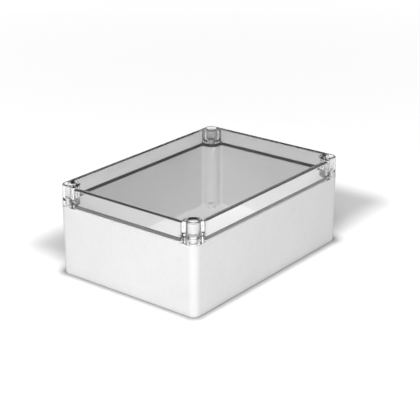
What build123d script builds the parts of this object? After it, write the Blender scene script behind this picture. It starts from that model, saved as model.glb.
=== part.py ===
from build123d import *
import os

# A shallow wall box with a clear screwed lid, lid on and screws home.
# X runs along its length, Y along its width and Z up from the face it stands on.
# The origin is the middle of that face.

# Overall size in millimetres, measured at the seam between base and lid
LENGTH = 254.0
WIDTH = 180.0
BASE_HEIGHT = 76.4
LID_HEIGHT = 23.6
CORNER_RADIUS = 8.0
SEAM_GAP = 0.2

# Draft of the moulded outer faces, as the step in from seam to end face
BASE_DRAFT = 0.5
LID_DRAFT = 0.8

# Base walls and floor
BASE_WALL = 3.6
BASE_CORE_DRAFT = 0.5
FLOOR = 3.2
BASE_FOOT_RADIUS = 1.2
FLOOR_FILLET = 1.5

# Screw axes, set in from both seam faces, and the seal's way round them
SCREW_INSET = 8.6
SEAL_BEND_AT_FACE = 6.8
SEAL_BLEND_AT_FACE = 7.5

# Lid walls
LID_TOP = 3.0
LID_SKIRT = 1.6
LID_EDGE_RADIUS = 0.8
LID_BOSS_RADIUS = 10.2
LID_BOSS_BLEND = 2.5
LID_INNER_RADIUS = 1.0
LID_BOSS_FLOOR = 2.5

# Gasket, which lies behind the lid's skirt, and the tongue that presses it
GASKET_WIDTH = 2.0
GASKET_HEIGHT = 3.4
GASKET_TO_SKIRT = 0.1
TONGUE_HEIGHT = 1.1
TONGUE_TO_SKIRT = 0.3
TONGUE_TO_GASKET = 0.1
TONGUE_ROUNDING = 0.3
RIM_OVER_GASKET = 2.0

# Lid screws
HEAD_DIAMETER = 11.0
HEAD_HEIGHT = 9.8
HEAD_ROUNDING = 0.5
HEAD_SIDE_GAP = 0.3
HEAD_BELOW_TOP = 2.4
DISH_DIAMETER = 7.6
DISH_DEPTH = 0.8
DRIVE_LENGTH = 6.2
DRIVE_WIDTH = 1.5
DRIVE_DEPTH = 4.0
HEAD_SHOULDER = 2.1
SHANK_SIDE_GAP = 0.3
THREAD_STEP = 0.5
THREAD_REACH = 9.0
THREAD_TIP_CHAMFER = 0.8
THREAD_SIDE_GAP = 0.2

# Rubber ring under each screw head
RING_THICKNESS = 2.6
RING_IN_FROM_HEAD = 0.3
RING_SHANK_GAP = 0.1
RING_SEAT_GAP = 0.1

# Brass inserts that the lid screws turn into
LID_INSERT_WALL = 1.2
LID_INSERT_LENGTH = 10.0
LID_INSERT_BELOW_SEAM = 0.5
INSERT_FIT_GAP = 0.05
TIP_ROOM = 6.0
INSERT_CHAMFER = 0.5
INSERT_GROOVE_WIDTH = 1.2
INSERT_GROOVE_DEPTH = 0.5

# Bosses on the floor with their own inserts, set in from the seam faces to the columns
FLOOR_BOSS_INSET_X = 20.0
FLOOR_BOSS_INSET_Y = 17.5
FLOOR_BOSS_DIAMETER = 9.6
FLOOR_BOSS_HEIGHT = 5.0
FLOOR_INSERT_DIAMETER = 6.0
FLOOR_INSERT_LENGTH = 6.0
FLOOR_THREAD_DIAMETER = 4.1

# Blind bores under the corner columns, for wall fixing screws or lugs
WALL_BORE_DIAMETER = 4.2
WALL_BORE_DEPTH = 18.0

# Thicknesses that follow from the screw's head, its steps and the insert's wall
SHANK_DIAMETER = HEAD_DIAMETER - 2 * HEAD_SHOULDER
THREAD_DIAMETER = SHANK_DIAMETER - 2 * THREAD_STEP
LID_INSERT_BORE = THREAD_DIAMETER + 2 * THREAD_SIDE_GAP
LID_INSERT_DIAMETER = LID_INSERT_BORE + 2 * LID_INSERT_WALL

# Heights that follow from the sizes above
SEAM = BASE_HEIGHT
TOP = BASE_HEIGHT + LID_HEIGHT
LID_FOOT = SEAM + SEAM_GAP
TONGUE_TOP = SEAM + TONGUE_HEIGHT
GASKET_FOOT = TONGUE_TOP + TONGUE_TO_GASKET
GASKET_TOP = GASKET_FOOT + GASKET_HEIGHT
RIM_TOP = GASKET_TOP + RIM_OVER_GASKET
HEAD_TOP = TOP - HEAD_BELOW_TOP
HEAD_FOOT = HEAD_TOP - HEAD_HEIGHT
RING_FOOT = HEAD_FOOT - RING_THICKNESS
BOSS_SEAT = RING_FOOT - RING_SEAT_GAP
POCKET_TOP = BOSS_SEAT - LID_BOSS_FLOOR
LID_INSERT_TOP = SEAM - LID_INSERT_BELOW_SEAM
LID_INSERT_FOOT = LID_INSERT_TOP - LID_INSERT_LENGTH
SCREW_TIP = SEAM - THREAD_REACH
FLOOR_BOSS_TOP = FLOOR + FLOOR_BOSS_HEIGHT
FLOOR_INSERT_FOOT = FLOOR_BOSS_TOP - FLOOR_INSERT_LENGTH

# Steps in from the outer face, with the lid's wall flush with the gasket
GASKET_OUTER = LID_SKIRT + GASKET_TO_SKIRT
GASKET_INNER = GASKET_OUTER + GASKET_WIDTH
LID_WALL = GASKET_INNER
TONGUE_OUTER = LID_SKIRT + TONGUE_TO_SKIRT

SCREW_X = LENGTH / 2 - SCREW_INSET
SCREW_Y = WIDTH / 2 - SCREW_INSET
POCKET_DIAMETER = 2 * (SCREW_INSET - LID_SKIRT)

CORNERS = {
    "front_left": (-1, -1),
    "front_right": (1, -1),
    "back_right": (1, 1),
    "back_left": (-1, 1),
}


def screw_axis(side_x, side_y):
    """Place of one corner's screw axis on the plan."""
    return Pos(side_x * SCREW_X, side_y * SCREW_Y)


def box_plan(inset):
    """Rounded plan of the box, a step in from its seam faces."""
    radius = max(CORNER_RADIUS - inset, 0.4)
    return RectangleRounded(LENGTH - 2 * inset, WIDTH - 2 * inset, radius)


def plan_inside_screws(inset, screw_radius, blend):
    """The same plan, kept off the four screw axes and blended into the walls."""
    plan = box_plan(inset)
    for side_x, side_y in CORNERS.values():
        plan -= screw_axis(side_x, side_y) * Circle(screw_radius)
    return fillet(plan.vertices(), blend)


def seal_plan(inset):
    """Plan inside the line that runs parallel to the seal, a step in from the face."""
    return plan_inside_screws(inset, SEAL_BEND_AT_FACE + inset, SEAL_BLEND_AT_FACE - inset)


def raised(plan, foot, top):
    """A plan extruded between two heights."""
    return Pos(0, 0, foot) * extrude(plan, top - foot)


def drafted(foot_plan, foot, top_plan, top):
    """A moulded form that runs from one plan to another."""
    return loft([Pos(0, 0, foot) * foot_plan, Pos(0, 0, top) * top_plan], ruled=True)


def rod(diameter, foot, top):
    """An upright cylinder between two heights."""
    return raised(Circle(diameter / 2), foot, top)


def edges_at(shape, height):
    """Edges of a shape that lie flat at one height."""
    return shape.edges().filter_by_position(Axis.Z, height - 0.01, height + 0.01)


def enclosure_base():
    """Opaque base: walls, floor, corner columns, tongue and floor bosses."""
    body = drafted(box_plan(BASE_DRAFT), 0, box_plan(0), SEAM)
    body = fillet(edges_at(body, 0), BASE_FOOT_RADIUS)
    core_foot = seal_plan(BASE_WALL + BASE_CORE_DRAFT)
    core = drafted(core_foot, FLOOR, seal_plan(BASE_WALL), SEAM)
    core = fillet(edges_at(core, FLOOR), FLOOR_FILLET)
    tongue = raised(seal_plan(TONGUE_OUTER) - seal_plan(BASE_WALL), SEAM, TONGUE_TOP)
    tongue = fillet(edges_at(tongue, TONGUE_TOP), TONGUE_ROUNDING)
    body = body - core + tongue
    for side_x, side_y in CORNERS.values():
        axis = screw_axis(side_x, side_y)
        body -= axis * rod(LID_INSERT_DIAMETER + 2 * INSERT_FIT_GAP, LID_INSERT_FOOT, SEAM)
        body -= axis * rod(LID_INSERT_BORE, LID_INSERT_FOOT - TIP_ROOM, LID_INSERT_FOOT)
        body -= axis * rod(WALL_BORE_DIAMETER, 0, WALL_BORE_DEPTH)
        place = floor_boss_place(side_x, side_y)
        body += place * rod(FLOOR_BOSS_DIAMETER, FLOOR - 0.5, FLOOR_BOSS_TOP)
        insert_bore = FLOOR_INSERT_DIAMETER + 2 * INSERT_FIT_GAP
        body -= place * rod(insert_bore, FLOOR_INSERT_FOOT, FLOOR_BOSS_TOP)
    return body


def floor_boss_place(side_x, side_y):
    """Place of one floor boss, which grows out of the foot of its corner column."""
    boss_x = LENGTH / 2 - FLOOR_BOSS_INSET_X
    boss_y = WIDTH / 2 - FLOOR_BOSS_INSET_Y
    return Pos(side_x * boss_x, side_y * boss_y)


def clear_lid():
    """Clear lid: top, wall, skirt round the gasket, corner bosses hollow underneath."""
    body = drafted(box_plan(0), LID_FOOT, box_plan(LID_DRAFT), TOP)
    body = fillet(edges_at(body, TOP), LID_EDGE_RADIUS)
    upper_plan = plan_inside_screws(LID_WALL, LID_BOSS_RADIUS, LID_BOSS_BLEND)
    room = raised(upper_plan, RIM_TOP, TOP - LID_TOP)
    room = fillet(edges_at(room, TOP - LID_TOP), LID_INNER_RADIUS)
    rim = raised(seal_plan(LID_WALL), GASKET_TOP, RIM_TOP)
    rebate = raised(seal_plan(LID_SKIRT), LID_FOOT, GASKET_TOP)
    body = body - room - rim - rebate
    for side_x, side_y in CORNERS.values():
        axis = screw_axis(side_x, side_y)
        body -= axis * rod(HEAD_DIAMETER + 2 * HEAD_SIDE_GAP, BOSS_SEAT, TOP)
        body -= axis * rod(SHANK_DIAMETER + 2 * SHANK_SIDE_GAP, LID_FOOT, BOSS_SEAT)
        body -= axis * rod(POCKET_DIAMETER, LID_FOOT, POCKET_TOP)
    return body


def lid_gasket():
    """Foam rubber ring that fills the rebate of the lid, drawn at its pressed height."""
    return raised(seal_plan(GASKET_OUTER) - seal_plan(GASKET_INNER), GASKET_FOOT, GASKET_TOP)


def lid_screw():
    """Plastic screw with a deep round head, a cross drive and a plain thread stand-in."""
    head = rod(HEAD_DIAMETER, HEAD_FOOT, HEAD_TOP)
    head = fillet(edges_at(head, HEAD_TOP), HEAD_ROUNDING)
    head -= rod(DISH_DIAMETER, HEAD_TOP - DISH_DEPTH, HEAD_TOP)
    arm = Rectangle(DRIVE_LENGTH, DRIVE_WIDTH)
    cross = arm + Rot(0, 0, 90) * arm
    head -= raised(cross, HEAD_TOP - DISH_DEPTH - DRIVE_DEPTH, HEAD_TOP - DISH_DEPTH)
    shank = rod(SHANK_DIAMETER, LID_FOOT, HEAD_FOOT)
    thread = rod(THREAD_DIAMETER, SCREW_TIP, LID_FOOT)
    thread = chamfer(edges_at(thread, SCREW_TIP), THREAD_TIP_CHAMFER)
    return head + shank + thread


def screw_ring():
    """Rubber ring between a screw head and its seat in the lid."""
    hole = SHANK_DIAMETER + 2 * RING_SHANK_GAP
    ring = rod(HEAD_DIAMETER - 2 * RING_IN_FROM_HEAD, RING_FOOT, HEAD_FOOT)
    ring = fillet(edges_at(ring, RING_FOOT) + edges_at(ring, HEAD_FOOT), RING_THICKNESS / 3)
    return ring - rod(hole, RING_FOOT, HEAD_FOOT)


def threaded_insert(diameter, bore, foot, length):
    """Brass insert with a grip groove round its middle."""
    top = foot + length
    insert = rod(diameter, foot, top)
    insert = chamfer(edges_at(insert, foot) + edges_at(insert, top), INSERT_CHAMFER)
    middle = foot + length / 2
    grip = rod(diameter, middle - INSERT_GROOVE_WIDTH / 2, middle + INSERT_GROOVE_WIDTH / 2)
    core = rod(diameter - 2 * INSERT_GROOVE_DEPTH, foot, top)
    return insert - (grip - core) - rod(bore, foot, top)


def write(name, shape):
    """Write one piece to its own file."""
    shape.label = name
    export_step(shape, os.path.join("parts", name + ".step"))


def main():
    """Make every piece and write it at its place in the closed box."""
    os.makedirs("parts", exist_ok=True)
    write("enclosure_base", enclosure_base())
    write("clear_lid", clear_lid())
    write("lid_gasket", lid_gasket())
    for corner, (side_x, side_y) in CORNERS.items():
        axis = screw_axis(side_x, side_y)
        write("lid_screw_" + corner, axis * lid_screw())
        write("screw_ring_" + corner, axis * screw_ring())
        lid_insert = threaded_insert(
            LID_INSERT_DIAMETER, LID_INSERT_BORE, LID_INSERT_FOOT, LID_INSERT_LENGTH)
        write("lid_insert_" + corner, axis * lid_insert)
        floor_insert = threaded_insert(
            FLOOR_INSERT_DIAMETER, FLOOR_THREAD_DIAMETER, FLOOR_INSERT_FOOT, FLOOR_INSERT_LENGTH)
        write("floor_insert_" + corner, floor_boss_place(side_x, side_y) * floor_insert)


main()
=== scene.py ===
import math

import bmesh
import bpy
from bpy.props import FloatProperty, FloatVectorProperty, PointerProperty
from mathutils import Matrix, Vector


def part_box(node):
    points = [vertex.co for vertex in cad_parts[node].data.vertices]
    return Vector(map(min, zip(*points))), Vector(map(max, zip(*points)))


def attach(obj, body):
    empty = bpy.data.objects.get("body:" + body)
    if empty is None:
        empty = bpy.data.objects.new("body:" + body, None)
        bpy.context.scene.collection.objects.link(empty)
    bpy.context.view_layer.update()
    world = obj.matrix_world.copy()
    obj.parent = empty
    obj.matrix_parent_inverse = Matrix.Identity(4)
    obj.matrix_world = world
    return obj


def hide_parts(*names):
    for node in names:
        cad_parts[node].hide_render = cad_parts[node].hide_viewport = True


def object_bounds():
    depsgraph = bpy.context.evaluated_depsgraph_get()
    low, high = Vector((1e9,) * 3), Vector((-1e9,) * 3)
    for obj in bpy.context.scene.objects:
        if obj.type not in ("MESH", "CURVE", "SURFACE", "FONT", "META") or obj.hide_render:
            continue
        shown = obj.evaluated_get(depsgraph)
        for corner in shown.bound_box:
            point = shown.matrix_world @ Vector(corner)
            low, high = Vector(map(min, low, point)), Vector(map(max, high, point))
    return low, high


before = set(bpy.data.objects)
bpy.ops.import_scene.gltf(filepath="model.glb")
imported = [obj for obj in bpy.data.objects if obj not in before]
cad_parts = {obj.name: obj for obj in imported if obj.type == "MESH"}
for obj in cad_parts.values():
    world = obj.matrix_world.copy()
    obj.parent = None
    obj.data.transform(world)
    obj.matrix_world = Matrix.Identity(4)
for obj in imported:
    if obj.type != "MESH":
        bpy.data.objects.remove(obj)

bl_info = {
    "name": "Clear lidded enclosure",
    "version": (1, 0, 0),
    "blender": (4, 5, 0),
    "location": "3D View > Sidebar > Enclosure",
    "description": "Finishes a shallow wall box with a clear screwed lid and lights it",
    "category": "Object",
}

CAD_BOX = [list(corner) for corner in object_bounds()]
CORNERS = ("front_left", "front_right", "back_right", "back_left")
BOX_HEIGHT = CAD_BOX[1][2] - CAD_BOX[0][2]

# The photograph's camera, found from the box's edges: its frame is 420 pixels square
FRAME_PIXELS = 420
FOCAL_PIXELS = 1190.7
SENSOR_WIDTH = 36.0
FARTHEST_SEEN = 20.0

# The floor's width, and the middle, half span and soft edge of the painted shadow behind the box
FLOOR_WIDTH = 12.0
SHADOW_MIDDLE = (0.085, 0.05, 0.0)
SHADOW_HALF = (0.16, 0.10, 0.0)
SHADOW_EDGE = 0.055
# The box meets the floor this far inside its outline. Outside that line a painted contact shadow
# fades: the floor's glow grows between the first two distances, and its colour turns from a
# painted shade to pale between the other two
FOOT_INSET = 0.008
FOOT_GLOW = (0.009, 0.028)
FOOT_PAINTED_SHADE = (0.0055, 0.017)
PAPER_PAINTED_SHADE = (0.36, 0.36, 0.36, 1.0)
PAPER_PALE = (0.8, 0.8, 0.8, 1.0)
BLACK = (0.0, 0.0, 0.0, 1.0)
WHITE = (1.0, 1.0, 1.0, 1.0)

# Greys of the studio's walls, from the dark side to the pale one, which lies at this turn
STUDIO_GREYS = ((0.0, 0.03), (0.35, 0.07), (0.6, 0.25), (1.0, 0.42))
STUDIO_TURN = math.radians(-62.0)

# What the clear plastic takes from light that is bent through it, and from a shadow ray
LID_TINT = (0.88, 0.88, 0.88, 1.0)
LID_SHADOW = (0.96, 0.96, 0.96, 1.0)

# Points nearer than these count as one: on a turned outline, in a finished piece, and at the
# plane of a level cut, which has to be finer than a thread's small faces
LATHE_GAP = 0.000001
SEAL_GAP = 0.000002
CUT_GAP = 0.0000001
# Cutters reach this far past what they cut
OVERRUN = 0.0001

# A thread's flanks start and end at these shares of its pitch, and it is turned this many
# pitches longer at each end before it is cut to length
FLANKS = (0.1, 0.44, 0.56, 0.9)
SPARE_TURNS = 1.5
# Depths of the screw's and the inserts' threads as shares of their pitches
SCREW_THREAD_DEPTH = 0.6
INSERT_THREAD_DEPTH = 0.3
# An insert's rims open by these shares of its pitch, and its sides have this many teeth
RIM_WIDTH = 0.45
RIM_DEPTH = 0.4
KNURL_TEETH = 34


class Finish:
    """A material's or a world's node tree, built by a few short calls."""

    def __init__(self, name, world=False):
        """Start an empty material of that name, or an empty world."""
        self.world = world
        self.made = (bpy.data.worlds if world else bpy.data.materials).new(name)
        self.made.use_nodes = True
        self.tree = self.made.node_tree
        self.tree.nodes.clear()

    def node(self, kind, settings=None, **values):
        """Add a node, set its own settings first, then the values or links of its sockets."""
        made = self.tree.nodes.new(kind)
        for key, value in (settings or {}).items():
            if key == "stops":
                self.set_stops(made.color_ramp, value)
            else:
                setattr(made, key, value)
        for key, value in values.items():
            self.feed(self.socket(made.inputs, key), value)
        return made

    def socket(self, sockets, key):
        """Find an input by its name with underscores for spaces, or by its number as in_2."""
        if key.startswith("in_"):
            return sockets[int(key[3:])]
        return sockets[key.replace("_", " ")]

    def feed(self, socket, value):
        """Link a value's socket, or set a plain number or colour."""
        if isinstance(value, Value):
            self.tree.links.new(value.socket, socket)
        elif hasattr(value, "outputs"):
            self.tree.links.new(value.outputs[0], socket)
        else:
            socket.default_value = value

    def set_stops(self, ramp, stops):
        """Give a ramp its stops, each a place and a grey."""
        while len(ramp.elements) < len(stops):
            ramp.elements.new(1.0)
        for element, (place, grey) in zip(ramp.elements, stops):
            element.position = place
            element.color = (grey, grey, grey, 1.0)

    def value(self, made, output=0):
        """Wrap one output of a node for use in expressions."""
        return Value(self, made.outputs[output])

    def place(self):
        """Place on the piece in metres."""
        return self.value(self.node("ShaderNodeTexCoord"), "Object")

    def axes(self):
        """Place on the piece as three numbers."""
        parts = self.node("ShaderNodeSeparateXYZ", Vector=self.place())
        return [self.value(parts, number) for number in range(3)]

    def stretched(self, scale):
        """Place on the piece with each axis squeezed by its own share."""
        made = self.node("ShaderNodeVectorMath", {"operation": "MULTIPLY"}, in_0=self.place(),
                         in_1=scale)
        return self.value(made, 0)

    def vector(self, operation, *operands):
        """Vector maths on places or colours, which gives a number for a length."""
        made = self.node("ShaderNodeVectorMath", {"operation": operation})
        for number, operand in enumerate(operands):
            self.feed(made.inputs[number], operand)
        return self.value(made, 1 if operation in ("LENGTH", "DOT_PRODUCT") else 0)

    def larger(self, first, second):
        """The larger of two numbers."""
        made = self.node("ShaderNodeMath", {"operation": "MAXIMUM"}, in_0=first, in_1=second)
        return self.value(made, 0)

    def blend(self, share, first, second):
        """Blend two numbers by a share."""
        made = self.node("ShaderNodeMix", {"data_type": "FLOAT"})
        self.feed(made.inputs["Factor"], share)
        self.feed(made.inputs[2], first)
        self.feed(made.inputs[3], second)
        return self.value(made, 0)

    def noise(self, size, detail=3.0, roughness=0.5, where=None):
        """Cloudy noise whose blobs are about that size in metres."""
        where = self.place() if where is None else where
        made = self.node("ShaderNodeTexNoise", {"noise_dimensions": "3D"}, Vector=where,
                         Scale=1.0 / size, Detail=detail, Roughness=roughness)
        return self.value(made, 0)

    def spread(self, value, low, high, to_low=0.0, to_high=1.0):
        """Map a number from one span to another, held at both ends."""
        made = self.node("ShaderNodeMapRange", {"clamp": True}, Value=value, in_1=low, in_2=high,
                         in_3=to_low, in_4=to_high)
        return self.value(made, 0)

    def mix(self, share, first, second):
        """Blend two colours by a share."""
        made = self.node("ShaderNodeMix", {"data_type": "RGBA"})
        self.feed(made.inputs["Factor"], share)
        self.feed(made.inputs[6], first)
        self.feed(made.inputs[7], second)
        return self.value(made, 2)

    def drift(self, colour, cloud, low, high, darker, lighter):
        """Drift a colour between a darker and a lighter share of itself as a cloud grows."""
        return self.mix(self.spread(cloud, low, high), shaded(colour, darker),
                        shaded(colour, lighter))

    def bump(self, height, depth, strength=1.0, normal=None):
        """Turn a height from 0 to 1 into a normal, with its depth in metres."""
        made = self.node("ShaderNodeBump", Height=height, Distance=depth, Strength=strength)
        if normal is not None:
            self.feed(made.inputs["Normal"], normal)
        return self.value(made, 0)

    def shader(self, **values):
        """The main surface shader."""
        return self.value(self.node("ShaderNodeBsdfPrincipled", **values), 0)

    def output(self, surface):
        """End the tree with this surface and hand over what it belongs to."""
        kind = "ShaderNodeOutputWorld" if self.world else "ShaderNodeOutputMaterial"
        self.node(kind, Surface=surface)
        return self.made


class Value:
    """A socket that takes part in Python arithmetic, each sign adding its maths node."""

    def __init__(self, finish, socket):
        self.finish = finish
        self.socket = socket

    def maths(self, operation, *operands):
        """Add one maths node."""
        made = self.finish.node("ShaderNodeMath", {"operation": operation})
        for number, operand in enumerate(operands):
            self.finish.feed(made.inputs[number], operand)
        return Value(self.finish, made.outputs[0])

    def __add__(self, other):
        return self.maths("ADD", self, other)

    __radd__ = __add__

    def __sub__(self, other):
        return self.maths("SUBTRACT", self, other)

    def __rsub__(self, other):
        return self.maths("SUBTRACT", other, self)

    def __mul__(self, other):
        return self.maths("MULTIPLY", self, other)

    __rmul__ = __mul__

    def __abs__(self):
        return self.maths("ABSOLUTE", self)


def shaded(colour, share):
    """A share of a colour, as red, green, blue and alpha."""
    return (*(share * part for part in colour), 1.0)


def deselect():
    """Leave edit mode and deselect everything."""
    if bpy.context.object is not None and bpy.context.object.mode != "OBJECT":
        bpy.ops.object.mode_set(mode="OBJECT")
    bpy.ops.object.select_all(action="DESELECT")


def dress(node, material):
    """Give a carried over piece one material all over."""
    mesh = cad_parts[node].data
    mesh.materials.clear()
    mesh.materials.append(material)


def chosen(piece):
    """Deselect everything, then select one piece and make it the active one."""
    deselect()
    piece.select_set(True)
    bpy.context.view_layer.objects.active = piece


def pick(piece, wanted):
    """Select the points of a piece in edit mode that a test of their place wants."""
    chosen(piece)
    bpy.ops.object.mode_set(mode="EDIT")
    bpy.ops.mesh.select_mode(type="VERT")
    points = bmesh.from_edit_mesh(piece.data)
    for point in points.verts:
        point.select = bool(wanted(point.co))
    points.select_flush_mode()
    bmesh.update_edit_mesh(piece.data)


def outline(name, corners):
    """Draw an open line through corners, each a distance from the axis and a height."""
    deselect()
    bpy.ops.mesh.primitive_plane_add(size=0.001, location=(0.0, 0.0, 0.0))
    piece = bpy.context.object
    piece.name = name
    bpy.ops.object.mode_set(mode="EDIT")
    bpy.ops.mesh.select_mode(type="VERT")
    bpy.ops.mesh.select_all(action="SELECT")
    bpy.ops.mesh.merge(type="CENTER")
    bpy.ops.transform.translate(value=(corners[0][0], 0.0, corners[0][1]))
    for (out, height), (next_out, next_height) in zip(corners, corners[1:]):
        step = {"value": (next_out - out, 0.0, next_height - height)}
        bpy.ops.mesh.extrude_region_move(TRANSFORM_OT_translate=step)
    bpy.ops.object.mode_set(mode="OBJECT")
    return piece


def apply(piece, modifier):
    """Apply a modifier to its piece."""
    chosen(piece)
    bpy.ops.object.modifier_apply(modifier=modifier.name)


def seal(piece):
    """Merge a piece's doubled points and turn its faces outwards."""
    chosen(piece)
    bpy.ops.object.mode_set(mode="EDIT")
    bpy.ops.mesh.select_all(action="SELECT")
    bpy.ops.mesh.remove_doubles(threshold=SEAL_GAP)
    bpy.ops.mesh.normals_make_consistent(inside=False)
    bpy.ops.object.mode_set(mode="OBJECT")


def turned(name, corners, steps=64, turns=1, pitch=0.0):
    """Turn an outline round the upright axis, climbing by the pitch if it is a thread."""
    piece = outline(name, corners)
    lathe = piece.modifiers.new("lathe", "SCREW")
    lathe.axis = "Z"
    lathe.steps = lathe.render_steps = steps
    lathe.iterations = turns
    lathe.screw_offset = pitch
    lathe.use_merge_vertices = True
    lathe.merge_threshold = LATHE_GAP
    apply(piece, lathe)
    seal(piece)
    return piece


def trim(piece, height, upwards):
    """Cut a piece level at a height, drop what is past it and close the cut."""
    chosen(piece)
    bpy.ops.object.mode_set(mode="EDIT")
    bpy.ops.mesh.select_all(action="SELECT")
    bpy.ops.mesh.bisect(plane_co=(0.0, 0.0, height), plane_no=(0.0, 0.0, 1.0), use_fill=True,
                        clear_outer=upwards, clear_inner=not upwards, threshold=CUT_GAP)
    bpy.ops.object.mode_set(mode="OBJECT")


def combine(piece, other, operation):
    """Join, cut or keep the common part of a piece with another, which is used up."""
    joining = piece.modifiers.new("combine", "BOOLEAN")
    joining.operation = operation
    joining.solver = "EXACT"
    joining.object = other
    apply(piece, joining)
    bpy.data.meshes.remove(other.data)
    return piece


def thread(name, crest, root, foot, top, pitch, steps=64):
    """Make a closed threaded rod between two heights, with the thread's phase from its foot."""
    turns = math.ceil((top - foot) / pitch) + round(2 * SPARE_TURNS)
    start = foot - SPARE_TURNS * pitch
    rise, peak, edge, fall = FLANKS
    side = ((root, 0.0), (root, rise), (crest, peak), (crest, edge), (root, fall), (root, 1.0))
    rod = turned(name, [(out, start + share * pitch) for out, share in side],
                 steps=steps, turns=turns, pitch=pitch)
    trim(rod, top, upwards=True)
    trim(rod, foot, upwards=False)
    seal(rod)
    return rod


def smooth(piece, angle=35.0):
    """Shade a piece smooth except at its edges."""
    chosen(piece)
    bpy.ops.object.shade_smooth_by_angle(angle=math.radians(angle))


def place_copy(model, name, node, material):
    """Copy a model made round the upright axis to where a node stands, with its own mesh."""
    low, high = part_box(node)
    piece = model.copy()
    piece.data = model.data.copy()
    piece.name = piece.data.name = name
    piece.location = ((low[0] + high[0]) / 2, (low[1] + high[1]) / 2, 0.0)
    bpy.context.scene.collection.objects.link(piece)
    chosen(piece)
    bpy.ops.object.transform_apply(location=True, rotation=True, scale=True)
    piece.data.materials.clear()
    piece.data.materials.append(material)
    return piece


class ENCLOSURE_PG_colours(bpy.types.PropertyGroup):
    """Colours of the pieces."""

    base: FloatVectorProperty(
        name="Base", description="Opaque plastic of the base", subtype="COLOR",
        size=3, min=0.0, max=1.0, default=(0.71, 0.71, 0.71))
    screw: FloatVectorProperty(
        name="Screws", description="Plastic of the lid screws", subtype="COLOR",
        size=3, min=0.0, max=1.0, default=(0.66, 0.665, 0.665))
    seal: FloatVectorProperty(
        name="Seal", description="Foam rubber of the gasket", subtype="COLOR",
        size=3, min=0.0, max=1.0, default=(0.068, 0.068, 0.07))
    ring: FloatVectorProperty(
        name="Rings", description="Rubber rings under the screw heads", subtype="COLOR",
        size=3, min=0.0, max=1.0, default=(0.30, 0.30, 0.31))
    metal: FloatVectorProperty(
        name="Inserts", description="Nickel plate of the threaded inserts", subtype="COLOR",
        size=3, min=0.0, max=1.0, default=(0.62, 0.61, 0.58))


class ENCLOSURE_PG_screw(bpy.types.PropertyGroup):
    """Sizes of the lid screws."""

    head: FloatProperty(
        name="Head height", description="Height of the screw's round head",
        unit="LENGTH", default=0.0098)
    rim: FloatProperty(
        name="Rim", description="Rounding of the head's top edge", unit="LENGTH", default=0.0005)
    dish: FloatProperty(
        name="Dish", description="Width of the hollow in the head's top",
        unit="LENGTH", default=0.0076)
    dish_depth: FloatProperty(
        name="Dish depth", description="Depth of that hollow", unit="LENGTH", default=0.0008)
    recess: FloatProperty(
        name="Cross", description="Span of the cross recess", unit="LENGTH", default=0.0062)
    recess_width: FloatProperty(
        name="Cross width", description="Width of the recess's arms",
        unit="LENGTH", default=0.0015)
    recess_depth: FloatProperty(
        name="Cross depth", description="Depth of the recess below the hollow",
        unit="LENGTH", default=0.0040)
    shank: FloatProperty(
        name="Shank", description="Thickness of the plain shank", unit="LENGTH", default=0.0068)
    thread: FloatProperty(
        name="Thread", description="Thickness over the thread", unit="LENGTH", default=0.0058)
    reach: FloatProperty(
        name="Reach", description="Length of the thread below the lid",
        unit="LENGTH", default=0.0092)
    pitch: FloatProperty(
        name="Pitch", description="Climb of the thread in one turn", unit="LENGTH", default=0.001)


class ENCLOSURE_PG_insert(bpy.types.PropertyGroup):
    """Sizes of the threaded inserts."""

    chamfer: FloatProperty(
        name="Chamfer", description="Slope at both rims", unit="LENGTH", default=0.0005)
    groove: FloatProperty(
        name="Groove", description="Width of the groove round the middle",
        unit="LENGTH", default=0.0012)
    groove_depth: FloatProperty(
        name="Groove depth", description="Depth of that groove", unit="LENGTH", default=0.0005)
    knurl: FloatProperty(
        name="Knurl", description="Depth of the straight knurling",
        unit="LENGTH", default=0.00022)
    lid_bore: FloatProperty(
        name="Lid bore", description="Bore inside the thread for the lid screws",
        unit="LENGTH", default=0.0062)
    floor_bore: FloatProperty(
        name="Floor bore", description="Bore inside the thread for a plate's screws",
        unit="LENGTH", default=0.0041)
    floor_pitch: FloatProperty(
        name="Floor pitch", description="Climb of the floor inserts' thread in one turn",
        unit="LENGTH", default=0.0007)


class ENCLOSURE_PG_stage(bpy.types.PropertyGroup):
    """Camera and light."""

    azimuth: FloatProperty(
        name="Azimuth", description="Turn of the camera round the box",
        subtype="ANGLE", unit="ROTATION", default=math.radians(-51.94))
    elevation: FloatProperty(
        name="Elevation", description="Height of the camera over the floor as an angle",
        subtype="ANGLE", unit="ROTATION", default=math.radians(21.71))
    distance: FloatProperty(
        name="Distance", description="Camera to the middle of the box",
        subtype="DISTANCE", unit="LENGTH", default=1.2857)
    aside: FloatProperty(
        name="Aside", description="Camera moved to its right",
        subtype="DISTANCE", unit="LENGTH", default=0.00714)
    above: FloatProperty(
        name="Above", description="Camera moved up in its own view",
        subtype="DISTANCE", unit="LENGTH", default=0.00305)
    lamp_place: FloatVectorProperty(
        name="Lamp place", description="Middle of the soft lamp, which faces the box",
        subtype="TRANSLATION", unit="LENGTH", size=3, default=(-0.79, -0.53, 1.05))
    lamp_size: FloatProperty(
        name="Lamp size", description="Width of the lamp's square face",
        unit="LENGTH", default=1.7)
    lamp_power: FloatProperty(
        name="Lamp power", description="Light that the lamp gives",
        unit="POWER", default=29.0)


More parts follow.
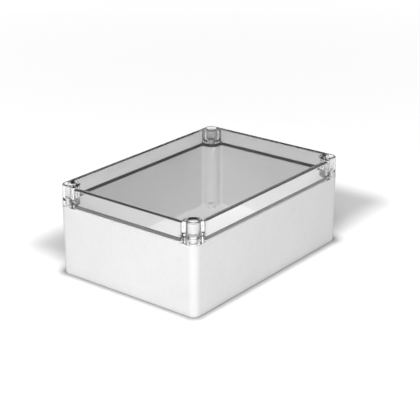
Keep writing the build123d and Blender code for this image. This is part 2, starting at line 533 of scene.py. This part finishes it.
class ENCLOSURE_OT_stage(bpy.types.Operator):
    """Set the floor, the soft lights and the photograph's camera"""

    bl_idname = "enclosure.stage"
    bl_label = "Stage"

    def execute(self, context):
        self.camera(context)
        self.floor(context)
        self.lights(context)
        return {"FINISHED"}

    def camera(self, context):
        """Put the camera where the photograph was taken from."""
        settings = context.scene.enclosure_stage
        turn, rise = settings.azimuth, settings.elevation
        back = Vector((math.sin(turn) * math.cos(rise), -math.cos(turn) * math.cos(rise),
                       math.sin(rise)))
        right = Vector((math.cos(turn), math.sin(turn), 0.0))
        up = back.cross(right)
        data = bpy.data.cameras.new("camera")
        data.sensor_width = SENSOR_WIDTH
        data.lens = FOCAL_PIXELS / FRAME_PIXELS * SENSOR_WIDTH
        data.clip_end = FARTHEST_SEEN
        camera = bpy.data.objects.new("camera", data)
        context.scene.collection.objects.link(camera)
        middle = Vector((0.0, 0.0, BOX_HEIGHT / 2))
        place = middle + back * settings.distance + right * settings.aside + up * settings.above
        axes = Matrix((right, up, back)).transposed()
        camera.matrix_world = Matrix.Translation(place) @ axes.to_4x4()
        context.scene.camera = camera

    def floor(self, context):
        """Lay a white floor that glows as painted light, held off a painted shadow behind the box
        and a darker painted contact shadow round its foot.
        """
        deselect()
        bpy.ops.mesh.primitive_plane_add(size=FLOOR_WIDTH, location=(0.0, 0.0, 0.0))
        floor = context.object
        floor.name = "floor"
        finish = Finish("paper_floor")
        middle = (0.0, 0.0, 0.0)
        foot = (CAD_BOX[1][0] - FOOT_INSET, CAD_BOX[1][1] - FOOT_INSET, 0.0)
        # The glow is held off a rectangle behind the box and a band round its foot, painting
        # their shadows
        glow_past_painted_shadows = (self.past(finish, SHADOW_MIDDLE, SHADOW_HALF, 0.0, SHADOW_EDGE)
               * self.past(finish, middle, foot, *FOOT_GLOW))
        painted_foot_shade_fade = self.past(finish, middle, foot, *FOOT_PAINTED_SHADE)
        # The glow is painted light: it is seen but gives the box no light, and is weaker near it
        path = finish.node("ShaderNodeLightPath")
        away = finish.vector("LENGTH", finish.place())
        far = finish.spread(away, low=0.5, high=2.5, to_low=0.5, to_high=1.0)
        glow = glow_past_painted_shadows * far * (1.0 - finish.value(path, "Is Diffuse Ray"))
        # The floor's colour darkens round the box's foot: a painted contact shadow
        floor.data.materials.append(finish.output(finish.shader(
            Base_Color=finish.mix(painted_foot_shade_fade, PAPER_PAINTED_SHADE, PAPER_PALE), Roughness=0.9,
            Emission_Color=finish.mix(glow, BLACK, WHITE), Emission_Strength=1.0)))

    def past(self, finish, middle, half, start, end):
        """Grow from 0 to 1 between two distances outside a rectangle on the floor."""
        aside = finish.vector("SUBTRACT", finish.place(), middle)
        past = finish.vector("SUBTRACT", finish.vector("ABSOLUTE", aside), half)
        outside = finish.vector("LENGTH", finish.vector("MAXIMUM", past, (0.0, 0.0, 0.0)))
        made = finish.node("ShaderNodeMapRange", {
            "clamp": True, "interpolation_type": "SMOOTHSTEP"},
            Value=outside, in_1=start, in_2=end)
        return finish.value(made)

    def lights(self, context):
        """Surround the box with grey walls, pale on one side, and hang the lamp."""
        settings = context.scene.enclosure_stage
        studio = Finish("studio", world=True)
        direction = studio.value(studio.node("ShaderNodeTexCoord"), "Generated")
        pale_side = (math.sin(STUDIO_TURN), -math.cos(STUDIO_TURN), 0.0)
        facing = studio.vector("DOT_PRODUCT", direction, pale_side)
        grey = studio.node("ShaderNodeValToRGB", {"stops": STUDIO_GREYS},
                           Fac=studio.spread(facing, low=-1.0, high=1.0))
        context.scene.world = studio.output(
            studio.node("ShaderNodeBackground", Color=grey, Strength=1.0))
        context.scene.view_settings.view_transform = "Standard"
        data = bpy.data.lights.new("key", "AREA")
        data.size = settings.lamp_size
        data.energy = settings.lamp_power
        lamp = bpy.data.objects.new("key", data)
        context.scene.collection.objects.link(lamp)
        lamp.location = settings.lamp_place
        aim = Vector((0.0, 0.0, BOX_HEIGHT / 2)) - lamp.location
        lamp.rotation_euler = aim.to_track_quat("-Z", "Y").to_euler()


class ENCLOSURE_OT_base(bpy.types.Operator):
    """Finish the opaque base in fine satin plastic, grained outside and drawn inside"""

    bl_idname = "enclosure.base"
    bl_label = "Base"

    def execute(self, context):
        colour = context.scene.enclosure_colours.base
        low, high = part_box("enclosure_base")
        finish = Finish("satin_abs")
        across, along = finish.axes()[:2]
        # One outside a line this deep in the walls, and nought inside it
        depth, edge = 0.003, 0.0004
        outside = finish.spread(finish.larger(abs(across) - (high[0] - depth),
                                              abs(along) - (high[1] - depth)),
                                low=0.0, high=edge)
        flow = finish.noise(size=0.045, detail=3.0, roughness=0.55)
        cloud = finish.noise(size=0.004, detail=4.0, roughness=0.6)
        coarse = finish.noise(size=0.00045, detail=3.0, roughness=0.65)
        fine = finish.noise(size=0.00014, detail=1.0, roughness=0.5)
        # The mould's inside is polished upwards, so its marks are long and thin
        drawn = finish.noise(size=0.0006, detail=3.0, roughness=0.6,
                             where=finish.stretched((1.0, 1.0, 0.05)))
        height = finish.blend(outside, drawn * 0.35, coarse * 0.7 + fine * 0.3)
        slow = finish.bump(flow, depth=0.00006, strength=0.5)
        dress("enclosure_base", finish.output(finish.shader(
            Base_Color=finish.drift(colour, 0.5 * flow + 0.5 * cloud, low=0.3, high=0.7,
                                    darker=0.955, lighter=1.03),
            Roughness=finish.blend(outside, 0.34 + 0.1 * cloud, 0.42 + 0.14 * coarse),
            Specular_IOR_Level=0.35,
            Normal=finish.bump(height, depth=0.00004, normal=slow))))
        return {"FINISHED"}


class ENCLOSURE_OT_lid(bpy.types.Operator):
    """Finish the lid in clear polished plastic with the slight waves of a moulding"""

    bl_idname = "enclosure.lid"
    bl_label = "Lid"

    def execute(self, context):
        finish = Finish("clear_lid")
        waves = finish.noise(size=0.03, detail=1.0, roughness=0.4)
        handled = finish.noise(size=0.012, detail=4.0, roughness=0.6)
        wear = finish.noise(size=0.0005, detail=2.0, where=finish.stretched((1.0, 0.06, 1.0)))
        fine = finish.bump(wear, depth=0.0000004, strength=0.4)
        clear = finish.shader(
            Base_Color=LID_TINT, IOR=1.58, Transmission_Weight=1.0,
            Roughness=finish.spread(handled, low=0.45, high=0.85, to_low=0.0, to_high=0.03),
            Normal=finish.bump(waves, depth=0.00002, strength=0.5, normal=fine))
        # Light reaches the inside straight through the lid, as thin polished plastic lets it
        passed = finish.node("ShaderNodeBsdfTransparent", Color=LID_SHADOW)
        path = finish.node("ShaderNodeLightPath")
        shade = finish.node("ShaderNodeMixShader", in_0=finish.value(path, "Is Shadow Ray"),
                            in_1=clear, in_2=passed)
        dress("clear_lid", finish.output(shade))
        return {"FINISHED"}


class ENCLOSURE_OT_rubber(bpy.types.Operator):
    """Finish the foamed gasket and the rings under the screw heads"""

    bl_idname = "enclosure.rubber"
    bl_label = "Rubber"

    def execute(self, context):
        colours = context.scene.enclosure_colours
        dress("lid_gasket", self.foam(colours.seal))
        ring = self.moulded(colours.ring)
        for corner in CORNERS:
            dress("screw_ring_" + corner, ring)
        return {"FINISHED"}

    def foam(self, colour):
        """Soft foam with small cells, broken open here and there, with painted shade in the open
        pits and the cells' hollows.
        """
        finish = Finish("foam_rubber")
        cells = finish.value(finish.node("ShaderNodeTexVoronoi", {"feature": "SMOOTH_F1"},
                                         Vector=finish.place(), Scale=1800.0,
                                         Smoothness=0.35), "Distance")
        pits = finish.value(finish.node("ShaderNodeTexVoronoi", {"feature": "F1"},
                                        Vector=finish.place(), Scale=620.0), "Distance")
        closed = finish.spread(pits, low=0.12, high=0.3)
        cloud = finish.noise(size=0.003, detail=3.0)
        # The foam's colour is partly random tone and partly painted shade, darker in the cells'
        # hollows and lighter on their walls
        skin_tone_and_cell_shade = finish.drift(colour, cells * 0.6 + cloud * 0.5, low=0.25, high=0.85,
                            darker=0.75, lighter=1.35)
        # Open pits take 0.4 of the colour as painted shade in their hollows
        return finish.output(finish.shader(
            Base_Color=finish.mix(closed, shaded(colour, 0.4), skin_tone_and_cell_shade),
            Roughness=0.78 + 0.16 * cloud, Specular_IOR_Level=0.3,
            Normal=finish.bump(cells * 0.5 + closed * 0.5, depth=0.00009)))

    def moulded(self, colour):
        """Smooth moulded rubber with a faint bloom."""
        finish = Finish("ring_rubber")
        bloom = finish.noise(size=0.0022, detail=4.0, roughness=0.6)
        grit = finish.noise(size=0.00012, detail=2.0)
        return finish.output(finish.shader(
            Base_Color=finish.drift(colour, bloom, low=0.35, high=0.7, darker=0.85, lighter=1.15),
            Roughness=0.5 + 0.2 * bloom, Specular_IOR_Level=0.4,
            Normal=finish.bump(grit, depth=0.000012)))


class ENCLOSURE_OT_screws(bpy.types.Operator):
    """Make the lid screws with their dished heads, cross recess and running thread"""

    bl_idname = "enclosure.screws"
    bl_label = "Lid screws"

    def execute(self, context):
        settings = context.scene.enclosure_screw
        low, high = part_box("lid_screw_front_left")
        model = self.body(settings, (high[0] - low[0]) / 2, low[2], high[2])
        for cutter in self.recess(settings, high[2]):
            combine(model, cutter, "DIFFERENCE")
        rod = self.threaded_end(settings, low[2])
        combine(model, rod, "UNION")
        seal(model)
        smooth(model)
        material = self.polyamide(context.scene.enclosure_colours.screw)
        for corner in CORNERS:
            node = "lid_screw_" + corner
            piece = place_copy(model, "screw_" + corner, node, material)
            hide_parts(node)
            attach(piece, "screw_" + corner)
        bpy.data.meshes.remove(model.data)
        return {"FINISHED"}

    def body(self, settings, radius, foot, top):
        """Turn the head with its dish, and the plain shank."""
        shoulder = top - settings.head
        shank = settings.shank / 2
        end = foot + settings.reach
        slope = 0.0003
        corners = [(0.0, end), (shank - slope, end), (shank, end + slope),
                   (shank, shoulder), (radius - slope, shoulder), (radius, shoulder + slope)]
        edge = settings.rim
        corners += [(radius - edge + edge * math.cos(math.radians(turn)),
                     top - edge + edge * math.sin(math.radians(turn)))
                    for turn in range(0, 91, 15)]
        lip = settings.dish / 2
        bottom = top - settings.dish_depth
        soft = 0.0001
        corners += [(lip + 2 * soft, top), (lip, top - soft), (lip - soft, bottom + 2 * soft),
                    (lip - 3 * soft, bottom), (0.0, bottom)]
        return turned("lid_screw_model", corners)

    def recess(self, settings, top):
        """Make the two arms that cut the cross, each half as wide at its bottom."""
        depth = settings.recess_depth + settings.dish_depth
        taper = 0.5
        for number, size in enumerate(((settings.recess, settings.recess_width),
                                       (settings.recess_width, settings.recess))):
            deselect()
            bpy.ops.mesh.primitive_cube_add(size=1.0, location=(0.0, 0.0, 0.0))
            cutter = bpy.context.object
            cutter.name = "cross_cutter_%d" % number
            bpy.ops.object.mode_set(mode="EDIT")
            bpy.ops.transform.resize(value=(*size, depth))
            bpy.ops.transform.translate(value=(0.0, 0.0, top - depth / 2 + OVERRUN))
            pick(cutter, lambda place: place.z < top - depth / 2)
            bpy.ops.transform.resize(value=(taper, taper, 1.0), center_override=(0.0, 0.0, top))
            bpy.ops.object.mode_set(mode="OBJECT")
            yield cutter

    def threaded_end(self, settings, foot):
        """Make the thread with its sloped tip, which reaches a little into the shank."""
        pitch = settings.pitch
        crest = settings.thread / 2
        root = crest - SCREW_THREAD_DEPTH * pitch
        into_shank = 0.0006
        top = foot + settings.reach + into_shank
        # A whole pitch longer at each end, so the thread keeps its phase with the inserts'
        rod = thread("lid_screw_thread", crest, root, foot - pitch, top + pitch, pitch)
        tip = 0.0009
        past = crest + OVERRUN
        blank = turned("lid_screw_blank", [
            (0.0, foot), (past - tip, foot), (past, foot + tip), (past, top), (0.0, top)])
        return combine(rod, blank, "INTERSECT")

    def polyamide(self, colour):
        """Satin plastic with fine marks round the screw's axis."""
        finish = Finish("screw_polyamide")
        cloud = finish.noise(size=0.003, detail=4.0, roughness=0.6)
        grain = finish.noise(size=0.00016, detail=2.0)
        turning = finish.noise(size=0.0004, detail=2.0,
                               where=finish.stretched((0.15, 0.15, 1.0)))
        return finish.output(finish.shader(
            Base_Color=finish.drift(colour, cloud, low=0.3, high=0.75, darker=0.93, lighter=1.05),
            Roughness=0.36 + 0.16 * cloud, Specular_IOR_Level=0.5,
            Normal=finish.bump(grain * 0.6 + turning * 0.4, depth=0.000014)))


class ENCLOSURE_OT_inserts(bpy.types.Operator):
    """Make the knurled and threaded inserts of the corner columns and the floor bosses"""

    bl_idname = "enclosure.inserts"
    bl_label = "Inserts"

    def execute(self, context):
        settings = context.scene.enclosure_insert
        material = self.plated(context.scene.enclosure_colours.metal)
        screw_pitch = context.scene.enclosure_screw.pitch
        kinds = (("lid_insert_", settings.lid_bore / 2, screw_pitch),
                 ("floor_insert_", settings.floor_bore / 2, settings.floor_pitch))
        for prefix, bore, pitch in kinds:
            low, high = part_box(prefix + "front_left")
            model = self.model(settings, (high[0] - low[0]) / 2, bore, pitch, low[2], high[2])
            for corner in CORNERS:
                node = prefix + corner
                piece = place_copy(model, "threaded_" + node, node, material)
                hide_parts(node)
                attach(piece, "base")
            bpy.data.meshes.remove(model.data)
        return {"FINISHED"}

    def model(self, settings, radius, bore, pitch, foot, top):
        """Turn a grooved sleeve, knurl it, and cut its thread and the slopes of its rims."""
        slope = settings.chamfer
        middle = (foot + top) / 2
        half = settings.groove / 2
        inner = radius - settings.groove_depth
        corners = [(0.0, foot), (radius - slope, foot), (radius, foot + slope),
                   (radius, middle - half), (inner, middle - half), (inner, middle + half),
                   (radius, middle + half), (radius, top - slope), (radius - slope, top),
                   (0.0, top)]
        made = turned("insert_model", corners, steps=KNURL_TEETH * 2)
        step = math.tau / (KNURL_TEETH * 2)

        def valley(place):
            if math.hypot(place.x, place.y) < radius - OVERRUN / 2:
                return False
            return round(math.atan2(place.y, place.x) / step) % 2 == 1

        pick(made, valley)
        share = (radius - settings.knurl) / radius
        bpy.ops.transform.resize(value=(share, share, 1.0), center_override=(0.0, 0.0, middle))
        bpy.ops.object.mode_set(mode="OBJECT")
        past = 0.0005
        steps = 48
        tap = thread("insert_tap", bore + INSERT_THREAD_DEPTH * pitch, bore,
                     foot - past, top + past, pitch, steps=steps)
        combine(made, tap, "DIFFERENCE")
        wide = bore + RIM_WIDTH * pitch + 2 * OVERRUN
        deep = RIM_DEPTH * pitch
        for rim, side in ((foot, -1.0), (top, 1.0)):
            inside, outside = rim - side * deep, rim + side * past / 2
            sink = turned("insert_sink", [(0.0, inside), (bore - OVERRUN, inside),
                                          (wide, outside), (0.0, outside)], steps=steps)
            combine(made, sink, "DIFFERENCE")
        seal(made)
        smooth(made, angle=30.0)
        return made

    def plated(self, colour):
        """Nickel plate over turned brass."""
        finish = Finish("nickel_plate")
        lines = finish.noise(size=0.00018, detail=3.0, roughness=0.7,
                             where=finish.stretched((0.08, 0.08, 1.0)))
        cloud = finish.noise(size=0.0015, detail=4.0, roughness=0.6)
        return finish.output(finish.shader(
            Base_Color=finish.drift(colour, cloud, low=0.3, high=0.75, darker=0.82, lighter=1.1),
            Metallic=1.0, Roughness=0.24 + 0.2 * lines,
            Normal=finish.bump(lines, depth=0.000008)))


class ENCLOSURE_PT_panel(bpy.types.Panel):
    """Lists the pieces and the stage."""

    bl_idname = "ENCLOSURE_PT_panel"
    bl_label = "Enclosure"
    bl_space_type = "VIEW_3D"
    bl_region_type = "UI"
    bl_category = "Enclosure"

    def draw(self, context):
        for step in STEPS:
            self.layout.operator("enclosure." + step)


GROUPS = {"enclosure_colours": ENCLOSURE_PG_colours, "enclosure_screw": ENCLOSURE_PG_screw,
          "enclosure_insert": ENCLOSURE_PG_insert, "enclosure_stage": ENCLOSURE_PG_stage}
STEPS = ("stage", "base", "lid", "rubber", "screws", "inserts")
CLASSES = (ENCLOSURE_PG_colours, ENCLOSURE_PG_screw, ENCLOSURE_PG_insert, ENCLOSURE_PG_stage,
           ENCLOSURE_OT_stage, ENCLOSURE_OT_base, ENCLOSURE_OT_lid, ENCLOSURE_OT_rubber,
           ENCLOSURE_OT_screws, ENCLOSURE_OT_inserts, ENCLOSURE_PT_panel)


def register():
    """Register the classes and hang the settings on the scene."""
    for made in CLASSES:
        bpy.utils.register_class(made)
    for name, group in GROUPS.items():
        setattr(bpy.types.Scene, name, PointerProperty(type=group))


def unregister():
    """Undo register."""
    for name in GROUPS:
        delattr(bpy.types.Scene, name)
    for made in reversed(CLASSES):
        bpy.utils.unregister_class(made)


def main():
    """Register the classes, then run every step in order."""
    register()
    for step in STEPS:
        getattr(bpy.ops.enclosure, step)()


if __name__ == "__main__":
    main()
